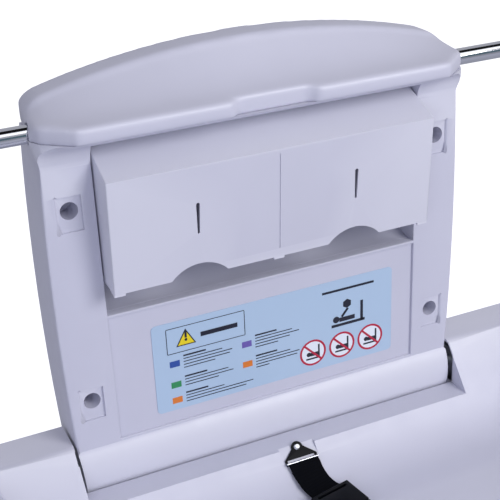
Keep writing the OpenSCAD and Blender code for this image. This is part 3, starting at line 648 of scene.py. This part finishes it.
    def figure(self, bm: bmesh.types.BMesh) -> None:
        """A bed on its bracket with a lying figure: a head, a trunk and a raised arm."""
        self.bar(bm, self.spot(self.figure_across, 0.535), 52, 4.2)
        self.bar(bm, self.spot(0.865, 0.42), 4.2, 30)
        self.bar(bm, self.spot(0.80, 0.475), 24, 6.5)
        self.disc(bm, self.spot(0.752, 0.465), 5.0)
        self.bar(bm, self.spot(0.79, 0.40), 15, 3.6, 50)
        self.disc(bm, self.spot(0.80, 0.30), 7.0, 6)

    def sign(self, bm: bmesh.types.BMesh, across: float) -> None:
        """A small bed with a figure on it, at a place along the label."""
        self.bar(bm, self.spot(across, 0.85), 21, 2.6)
        self.bar(bm, self.spot(across + 0.006, 0.80), 12, 5.5)
        self.disc(bm, self.spot(across - 0.018, 0.795), 3.4)
        self.bar(bm, self.spot(across + 0.026, 0.77), 2.6, 20)

    def red(self) -> None:
        """The red layer: three rings with a stroke across each."""
        bm = bmesh.new()
        for across in self.signs:
            at = self.spot(across, self.signs_down)
            self.ring(bm, at, self.ring_mm, self.ring_line_mm)
            self.bar(bm, at + Vector((0, -self.ink_mm * MM, 0)), 2 * self.ring_mm - 1, self.ring_line_mm, -45)
        self.done(bm, "red", "#B3173A")

    def yellow(self) -> None:
        """The yellow layer: a plain triangle on a dark one."""
        at = self.spot(*self.triangle_at)
        bm = bmesh.new()
        self.disc(bm, at, self.triangle_mm, 3)
        self.done(bm, "triangle_edge", "#20222C")
        bm = bmesh.new()
        self.disc(bm, at + Vector((0, -self.ink_mm * MM / 2, 0)), self.triangle_mm - self.triangle_edge_mm, 3)
        self.done(bm, "triangle", "#E6CF1E")

    def chips(self) -> None:
        """Small plain chips that head the rows of bars, and the discs behind the signs."""
        for name, colour, places in (("chip_blue", "#2C4D9C", ((0.08, 0.47),)),
                                     ("chip_green", "#2F8A55", ((0.08, 0.71),)),
                                     ("chip_orange", "#D8792F", ((0.08, 0.89), (0.37, 0.70))),
                                     ("chip_violet", "#6A5AA8", ((0.37, 0.465),))):
            bm = bmesh.new()
            for across, down in places:
                self.bar(bm, self.spot(across, down), 14, 9)
            self.done(bm, name, colour)
        bm = bmesh.new()
        for across in self.signs:
            at = self.spot(across, self.signs_down) + Vector((0, self.ink_mm * MM / 2, 0))
            self.disc(bm, at, self.ring_mm - 1, 56)
        self.done(bm, "sign_discs", "#E3E8F2")


# ---------- wall unit ----------


@dataclass
class WallUnit:
    """The housing, its crown, its back plate and the steel behind its screws."""

    shop: Shop
    corner_mm: float = 3.0
    lip_mm: float = 1.2
    panel_depth_mm: float = 3.2
    crown_grid_mm: float = 2.6
    crown_passes: int = 14
    seam_mm: float = 3.0
    bore_reach_mm: float = 17.0
    outer_band_mm: float = 22.0
    crown_foot_mm: float = 180.0
    rail_face_mm: float = 60.0
    roll_top_mm: float = -197.0

    def build(self) -> None:
        """Make every piece of the wall unit that doesn't move."""
        self.housing()
        self.crown()
        self.shop.rounded("back_plate", GREY, 0.8, lambda e: longer(e, 20))
        for node in ("back_plate_screws", "side_frame_left", "side_frame_right"):
            self.shop.dress(node, STEEL)
        self.shop.dress("label_plate", LABEL)
        LabelPrint(self.shop).build()

    def housing(self) -> None:
        """Round the housing: soft outer corners, finer lips at the bay, the panel and the screw cells."""
        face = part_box("label_plate")[0].y - self.panel_depth_mm * MM
        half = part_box("wall_housing")[1].x
        bm = self.shop.copy("wall_housing", whole_faces=False)

        def on_face(edge: bmesh.types.BMEdge) -> bool:
            """Whether an edge lies in the plane of the side rails' face."""
            return all(abs(v.co.y - face) < 0.05 * MM for v in edge.verts)

        def outer(edge: bmesh.types.BMEdge) -> bool:
            """The face's two long outer edges."""
            at = middle(edge)
            aside = abs(at.x) > half - self.outer_band_mm * MM
            return on_face(edge) and aside and at.z < self.crown_foot_mm * MM

        def lips(edge: bmesh.types.BMEdge) -> bool:
            """The face's edges around the bay and the recessed panel."""
            at = middle(edge)
            inside = abs(at.x) < half - self.rail_face_mm * MM
            return on_face(edge) and inside and at.z > self.roll_top_mm * MM

        round_edges(bm, self.corner_mm * MM, outer, 4)
        round_edges(bm, self.lip_mm * MM, lips, 3)
        self.shop.finish(bm, "wall_housing_finished", Body.WALL.value, WHITE, ["wall_housing"])

    def crown(self) -> None:
        """Soften the crown, as a rotational moulding is, but for its flat seam and back and its bores."""
        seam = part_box("crown_cover")[0].z + self.seam_mm * MM
        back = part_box("crown_cover")[1].y - self.seam_mm * MM
        bm = remeshed(self.shop.copy("crown_cover", whole_faces=False), self.crown_grid_mm * MM)
        rail = (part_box("hanging_rail")[0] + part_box("hanging_rail")[1]) / 2
        away = [v for v in bm.verts if (v.co.yz - rail.yz).length > self.bore_reach_mm * MM]
        low = [v for v in away if v.co.z <= seam]
        rear = [v for v in away if v.co.z > seam and v.co.y >= back]
        free = [v for v in away if v.co.z > seam and v.co.y < back]
        for _ in range(self.crown_passes):
            for verts, along_y, along_z in ((free, True, True), (rear, False, True), (low, True, False)):
                bmesh.ops.smooth_vert(bm, verts=verts, factor=0.5, use_axis_x=True, use_axis_y=along_y,
                                      use_axis_z=along_z)
        self.shop.finish(bm, "crown_cover_finished", Body.WALL.value, WHITE, ["crown_cover"], sharp_deg=60.0)


@dataclass
class Dispenser:
    """The liner dispenser's tray, door, pins and catch."""

    shop: Shop
    door_edge_mm: float = 2.2
    slope_mm: float = 24.0

    def build(self) -> None:
        """Make the dispenser's pieces."""
        self.shop.rounded("dispenser_tray", GREY, 0.6, lambda e: longer(e, 10))
        self.shop.rounded("door_catch", ACETAL, 0.4)
        for side in Side:
            self.shop.dress("door_pin_" + side.word, STEEL)
        self.door()

    def door(self) -> None:
        """Round the door's outer edges more than its inner ones."""
        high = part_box("dispenser_door")[1]
        bm = self.shop.copy("dispenser_door")

        def front(edge: bmesh.types.BMEdge) -> bool:
            """The long edges that the front, the slope and the sides share."""
            at = middle(edge)
            inside = abs(at.x) < high.x - 1 * MM and at.z < high.z - self.slope_mm * MM
            return longer(edge, 30) and not inside and at.y < high.y - 2 * MM

        round_edges(bm, self.door_edge_mm * MM, front, 4)
        self.shop.finish(bm, "dispenser_door_finished", Body.DOOR.value, DOOR_WHITE, ["dispenser_door"])


@dataclass
class HangingRail:
    """The chrome rail with its clamps and end caps."""

    shop: Shop
    wall_mm: float = 1.5

    def build(self) -> None:
        """Make the rail's pieces."""
        self.rail()
        for side in Side:
            self.shop.rounded("rail_clamp_" + side.word, GREY, 0.8, lambda e: longer(e, 8))
            self.shop.rounded("rail_cap_" + side.word, ACETAL, 0.8)
        self.shop.dress("rail_clamp_screws", STEEL)

    def rail(self) -> None:
        """Draw the tube at full roundness, with its ends' wall showing."""
        low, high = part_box("hanging_rail")
        centre = (low + high) / 2
        outside = (high.z - low.z) / 2
        bm = bmesh.new()
        bmesh.ops.create_cone(bm, cap_ends=False, segments=96, radius1=outside, radius2=outside,
                              depth=high.x - low.x)
        bmesh.ops.solidify(bm, geom=bm.faces[:], thickness=self.wall_mm * MM)
        bmesh.ops.rotate(bm, verts=bm.verts, cent=(0, 0, 0), matrix=Matrix.Rotation(math.pi / 2, 3, "Y"))
        bmesh.ops.translate(bm, verts=bm.verts, vec=centre)
        bmesh.ops.recalc_face_normals(bm, faces=bm.faces)
        self.shop.finish(bm, "chrome_rail", Body.WALL.value, CHROME, ["hanging_rail"])


@dataclass
class Bed:
    """The bed's two mouldings and the screws between them."""

    shop: Shop
    rim_mm: float = 3.0
    brow_mm: float = 6.0
    rim_band_mm: float = 50.0
    rim_drop_mm: float = 60.0

    def build(self) -> None:
        """Make the bed's pieces."""
        self.tray()
        self.shell()
        self.shop.dress("bed_shell_screws", STEEL)

    def tray(self) -> None:
        """Round the rim's outer edge as far as the notch, and its inner one more softly."""
        low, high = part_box("bed_tray")
        bm = self.shop.copy("bed_tray", whole_faces=False)

        def rim(edge: bmesh.types.BMEdge) -> bool:
            """The rim's top edge around the bed's outside."""
            at = middle(edge)
            top, side = sorted(edge.link_faces, key=lambda f: f.normal.z, reverse=True)
            band = self.rim_band_mm * MM
            outside = abs(at.x) > high.x - band or at.y < low.y + band
            steep = top.normal.z > 0.9 and abs(side.normal.z) < 0.3
            return outside and steep and faces_out(side, at, low, high)

        def brow(edge: bmesh.types.BMEdge) -> bool:
            """The rim's inner edge, where it turns down into the basin."""
            at = middle(edge)
            top, side = sorted(edge.link_faces, key=lambda f: f.normal.z, reverse=True)
            high_up = at.z > high.z - self.rim_drop_mm * MM
            return longer(edge, 40) and high_up and top.normal.z > 0.9 and side.normal.z > 0.1

        round_edges(bm, self.brow_mm * MM, brow, 4, over_deg=20.0)
        round_edges(bm, self.rim_mm * MM, rim, 4)
        self.shop.finish(bm, "bed_tray_finished", Body.BED.value, WHITE, ["bed_tray"])

    def shell(self) -> None:
        """Keep the shell's form, which the rim covers."""
        bm = self.shop.copy("bed_shell", whole_faces=False)
        self.shop.finish(bm, "bed_shell_finished", Body.BED.value, WHITE, ["bed_shell"])


@dataclass
class HingeGear:
    """The shaft, its bushes, dampers, stops and the plates in the bed's wings."""

    shop: Shop

    def build(self) -> None:
        """Make the hinge's pieces."""
        self.shop.dress("hinge_shaft", STEEL)
        for side in Side:
            self.shop.rounded("hinge_plate_" + side.word, STEEL, 0.6, lambda e: longer(e, 5))
            self.shop.rounded("stop_lever_" + side.word, STEEL, 0.5, lambda e: longer(e, 4))
            self.shop.rounded("stop_pad_" + side.word, RUBBER, 0.8)
            self.shop.dress("shaft_bush_" + side.word, NYLON)
            self.shop.dress("rotary_damper_" + side.word, ACETAL)


@dataclass
class Strap:
    """The safety strap: its anchors, webbing, slider and buckle.

    Each route is the webbing's middle line in millimetres, given to lie on the bed
    from its anchor's bar to the buckle.
    """

    shop: Shop
    web_mm: float = 45.0
    thick_mm: float = 1.6
    crown_mm: float = 0.25
    steps: int = 60
    rear_route: tuple[tuple[float, float, float], ...] = (
        (8.5, -148, -265.8), (9, -152, -268.8), (10, -162, -276.6), (13, -176, -285.2), (17, -190, -288.4),
        (19, -197.3, -287.2))
    front_route: tuple[tuple[float, float, float], ...] = (
        (33, -262.6, -296.6), (39, -296, -297.9), (43, -331, -297.9), (44, -371, -297.9),
        (41, -396, -297.2), (40, -412, -296.6))

    def along(self, route: Sequence[tuple[float, float, float]], share: float) -> Vector:
        """A point on the smooth curve through a route.

        Args:
            route: The route's points in millimetres.
            share: From 0 at the route's start to 1 at its end.

        Returns:
            The point in metres.
        """
        spans = len(route) - 1
        first = min(int(share * spans), spans - 1)
        t = share * spans - first
        a, b, c, d = (Vector(route[max(0, min(spans, first + k))]) for k in (-1, 0, 1, 2))
        curve = 2 * b + (c - a) * t + (2 * a - 5 * b + 4 * c - d) * t * t + (3 * b - a - 3 * c + d) * t ** 3
        return curve * MM / 2

    def webbing(self, end: str, route: Sequence[tuple[float, float, float]], rests_on: Sequence[str]) -> None:
        """Lay a band of webbing along a route, with its weave's own map.

        Args:
            end: Which end's strap this is.
            route: The route's points in millimetres.
            rests_on: What the band lies on. Not used.
        """
        steps = self.steps
        line = [self.along(route, i / steps) for i in range(steps + 1)]
        length = sum((q - p).length for p, q in zip(line, line[1:]))
        bm = bmesh.new()
        bmesh.ops.create_grid(bm, x_segments=8, y_segments=steps, size=0.5, calc_uvs=True)
        chart = bm.loops.layers.uv.verify()
        for face in bm.faces:
            for loop in face.loops:
                loop[chart].uv = (loop.vert.co.x * self.web_mm * MM, (loop.vert.co.y + 0.5) * length)
        for vert in bm.verts:
            at = round((vert.co.y + 0.5) * steps)
            ahead = (line[min(at + 1, steps)] - line[max(at - 1, 0)]).normalized()
            across = ahead.cross(Vector((0, 0, 1))).normalized()
            crown = self.crown_mm * MM * (1 - (2 * vert.co.x) ** 2)
            vert.co = line[at] - across * (vert.co.x * self.web_mm * MM) + Vector((0, 0, crown))
        bmesh.ops.solidify(bm, geom=bm.faces[:], thickness=-self.thick_mm * MM)
        bmesh.ops.recalc_face_normals(bm, faces=bm.faces)
        band = self.shop.finish(bm, "webbing_" + end, Body.BED.value, BAND, ["strap_" + end], sharp_deg=50.0)

    def build(self) -> None:
        """Make the strap's pieces."""
        for end in ("rear", "front"):
            self.shop.rounded("anchor_plate_" + end, COAT, 0.5, lambda e: longer(e, 1))
            self.shop.dress("anchor_bar_" + end, CHROME)
        self.webbing("rear", self.rear_route, ["bed_tray_finished", "anchor_bar_rear"])
        self.webbing("front", self.front_route, ["bed_tray_finished", "anchor_bar_front"])
        self.shop.dress("anchor_screws", CHROME)
        self.shop.rounded("strap_slider", ACETAL, 0.8)
        self.shop.rounded("buckle_socket", ACETAL, 1.0, lambda e: longer(e, 3))
        self.shop.rounded("buckle_tongue", ACETAL, 1.0, lambda e: longer(e, 3))
        for side in Side:
            self.shop.rounded("buckle_tab_" + side.word, ACETAL, 0.8)


# ---------- studio ----------


@dataclass(frozen=True)
class SoftBox:
    """A round soft light that faces the station: its place and size in metres, watts and colour."""

    name: str
    place: tuple[float, float, float]
    size: float
    power: float
    colour: str


@dataclass
class Studio:
    """A pale floor, soft lights and the camera."""

    floor_z: float = -0.85
    floor_glow: float = 0.16
    ambient: float = 0.5
    sky_tint: str = "#F4F5FF"
    card_away: float = 1.6
    card_half: float = 3.0
    bands: tuple[tuple[str, float, float, str, float], ...] = (
        ("card_over", 66.0, 104.0, "#000000", 0.0),
        ("card_key", 34.0, 62.0, "#FFFFFF", 1.5),
        ("card_level", -6.0, 16.0, "#5F7884", 0.8),
        ("card_under", -96.0, -62.0, "#101216", 0.3),
    )
    boxes: tuple[SoftBox, ...] = (
        SoftBox("key", (1.24, -2.45, 1.47), 1.6, 53.0, "#FFFFFF"),
        SoftBox("fill", (-1.25, -1.9, 0.35), 1.2, 9.0, "#E4EBFF"),
    )
    camera_at: tuple[float, float, float] = (-0.5310, -1.2301, 0.6255)
    azimuth: float = 23.732
    elevation: float = 25.435
    roll: float = -2.615
    lens: float = 79.03

    def build(self) -> None:
        """Make the floor, the lights, the sky and the camera."""
        self.floor()
        self.cards()
        self.lights()
        self.sky()
        self.camera()

    def floor(self) -> None:
        """Lay the pale floor."""
        bm = bmesh.new()
        bmesh.ops.create_grid(bm, x_segments=1, y_segments=1, size=9.0)
        bmesh.ops.translate(bm, verts=bm.verts, vec=(0, 0, self.floor_z))
        mesh = bpy.data.meshes.new("floor")
        bm.to_mesh(mesh)
        bm.free()
        floor = bpy.data.objects.new("floor", mesh)
        bpy.context.scene.collection.objects.link(floor)
        pale = bpy.data.materials.new("pale_floor")
        pale.use_nodes = True
        shader = pale.node_tree.nodes["Principled BSDF"]
        shader.inputs["Base Color"].default_value = linear("#8E90A0")
        shader.inputs["Roughness"].default_value = 0.9
        shader.inputs["Emission Color"].default_value = (1, 1, 1, 1)
        path = add_node(pale.node_tree, "LightPath")
        glow = add_node(pale.node_tree, "MapRange", {"Value": path.outputs["Is Camera Ray"],
                                                     "To Min": self.floor_glow, "To Max": 1.0})
        pale.node_tree.links.new(glow.outputs["Result"], shader.inputs["Emission Strength"])
        mesh.materials.append(pale)

    def cards(self) -> None:
        """Stand long cards around the rail that only mirrors see, to draw its bands."""
        centre = (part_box("hanging_rail")[0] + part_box("hanging_rail")[1]) / 2
        for name, low, high, colour, glow in self.bands:
            bm = bmesh.new()
            bmesh.ops.create_grid(bm, x_segments=1, y_segments=1, size=1.0)
            reach = self.card_away * math.tan(math.radians(high - low) / 2)
            bmesh.ops.scale(bm, vec=(self.card_half, reach, 1), verts=bm.verts)
            rise = math.radians((low + high) / 2)
            tilt = Matrix.Rotation(math.pi / 2 - rise, 3, "X")
            bmesh.ops.rotate(bm, verts=bm.verts, cent=(0, 0, 0), matrix=tilt)
            away = Vector((0, -math.cos(rise), math.sin(rise))) * self.card_away
            bmesh.ops.translate(bm, verts=bm.verts, vec=centre + away)
            mesh = bpy.data.meshes.new(name)
            bm.to_mesh(mesh)
            bm.free()
            card = bpy.data.objects.new(name, mesh)
            bpy.context.scene.collection.objects.link(card)
            paint = bpy.data.materials.new(name)
            paint.use_nodes = True
            shader = paint.node_tree.nodes["Principled BSDF"]
            shader.inputs["Base Color"].default_value = (0, 0, 0, 1)
            shader.inputs["Roughness"].default_value = 1.0
            shader.inputs["Emission Color"].default_value = linear(colour)
            shader.inputs["Emission Strength"].default_value = glow
            mesh.materials.append(paint)
            card.visible_camera = card.visible_diffuse = card.visible_shadow = False
            card.visible_transmission = card.visible_volume_scatter = False

    def lights(self) -> None:
        """Hang the soft boxes: a large key above and to the right, and a weak, cool fill at the left."""
        for box in self.boxes:
            lamp = bpy.data.lights.new(box.name, "AREA")
            lamp.shape = "DISK"
            lamp.size = box.size
            lamp.energy = box.power
            lamp.color = linear(box.colour)[:3]
            holder = bpy.data.objects.new(box.name, lamp)
            holder.location = box.place
            holder.rotation_euler = (-Vector(box.place)).to_track_quat("-Z", "Y").to_euler()
            bpy.context.scene.collection.objects.link(holder)

    def sky(self) -> None:
        """Surround the scene with an even light that is a little cool, and white to the camera."""
        world = bpy.data.worlds.new("studio")
        world.use_nodes = True
        tree = world.node_tree
        path = add_node(tree, "LightPath")
        level = add_node(tree, "MapRange", {"Value": path.outputs["Is Camera Ray"], "To Min": self.ambient,
                                            "To Max": 1.0})
        sky = tree.nodes["Background"]
        tint = add_node(tree, "Mix", {0: path.outputs["Is Camera Ray"], 6: linear(self.sky_tint),
                                      7: (1, 1, 1, 1)}, data_type="RGBA")
        tree.links.new(tint.outputs[2], sky.inputs["Color"])
        tree.links.new(level.outputs["Result"], sky.inputs["Strength"])
        bpy.context.scene.world = world
        bpy.context.scene.view_settings.view_transform = "Standard"

    def camera(self) -> None:
        """Set up the camera where the reference view stands."""
        turn, rise, lean = (math.radians(v) for v in (self.azimuth, self.elevation, self.roll))
        look = Vector((math.sin(turn) * math.cos(rise), math.cos(turn) * math.cos(rise), -math.sin(rise)))
        level = Vector((math.cos(turn), -math.sin(turn), 0))
        upright = level.cross(look)
        right = math.cos(lean) * level + math.sin(lean) * upright
        top = math.cos(lean) * upright - math.sin(lean) * level
        data = bpy.data.cameras.new("camera")
        data.lens = self.lens
        data.sensor_width = 36.0
        holder = bpy.data.objects.new("camera", data)
        holder.matrix_world = (Matrix.Translation(self.camera_at)
                               @ Matrix((right, top, -look)).transposed().to_4x4())
        bpy.context.scene.collection.objects.link(holder)
        bpy.context.scene.camera = holder


def main() -> None:
    """Build the station's pieces in order."""
    logging.basicConfig(level=logging.INFO, format="%(name)s: %(message)s")
    bpy.ops.wm.read_factory_settings(use_empty=True)
    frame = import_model()
    shop = Shop(frame)
    Studio().build()
    for part in (WallUnit(shop), Dispenser(shop), HangingRail(shop), Bed(shop), HingeGear(shop), Strap(shop)):
        part.build()


if __name__ == "__main__":
    main()
